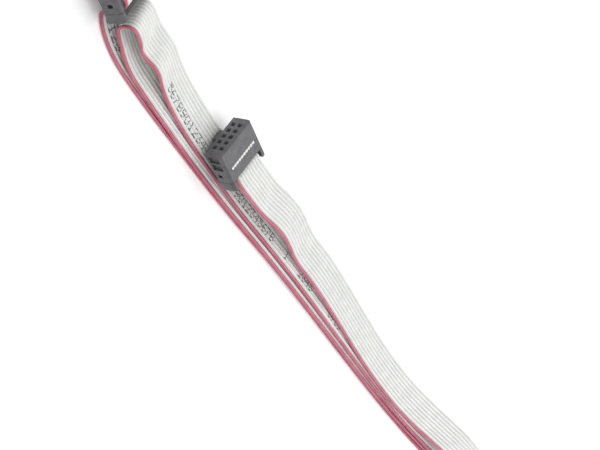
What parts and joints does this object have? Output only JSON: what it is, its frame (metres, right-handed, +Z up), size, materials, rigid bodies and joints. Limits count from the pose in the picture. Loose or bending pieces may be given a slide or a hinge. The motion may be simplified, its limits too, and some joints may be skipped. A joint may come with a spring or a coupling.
{
  "type": "ribbon cable assembly",
  "caption": "Flat grey ribbon cable with a coloured edge wire and a crimped grey pin socket with strain relief on each end, laid in a zigzag of stacked runs.",
  "frame": {"origin": "centre of the cable's footprint on the surface it lies on", "axes": "+X from the end with the sockets' mating faces towards the far folds, +Z up, +Y across the ribbon away from the coloured edge"},
  "size_m": [0.3164, 0.0718, 0.0119],
  "materials": {
    "housing": "satin moulded",
    "contact_metal": "plated",
    "insulation": "soft satin",
    "marked_insulation": "soft satin",
    "copper": "tinned"
  },
  "bodies": {
    "root": {"socket_body_a": "housing", "cover_a": "housing", "strain_relief_a": "housing", "contact_a_01": "contact_metal", "contact_a_02": "contact_metal", "contact_a_03": "contact_metal", "contact_a_04": "contact_metal", "contact_a_05": "contact_metal", "contact_a_06": "contact_metal", "contact_a_07": "contact_metal", "contact_a_08": "contact_metal", "contact_a_09": "contact_metal", "contact_a_10": "contact_metal", "socket_body_b": "housing", "cover_b": "housing", "strain_relief_b": "housing", "contact_b_01": "contact_metal", "contact_b_02": "contact_metal", "contact_b_03": "contact_metal", "contact_b_04": "contact_metal", "contact_b_05": "contact_metal", "contact_b_06": "contact_metal", "contact_b_07": "contact_metal", "contact_b_08": "contact_metal", "contact_b_09": "contact_metal", "contact_b_10": "contact_metal", "wire_01": "marked_insulation", "core_01": "copper", "wire_02": "insulation", "core_02": "copper", "wire_03": "insulation", "core_03": "copper", "wire_04": "insulation", "core_04": "copper", "wire_05": "insulation", "core_05": "copper", "wire_06": "insulation", "core_06": "copper", "wire_07": "insulation", "core_07": "copper", "wire_08": "insulation", "core_08": "copper", "wire_09": "insulation", "core_09": "copper", "wire_10": "insulation", "core_10": "copper"}
  },
  "joints": []
}
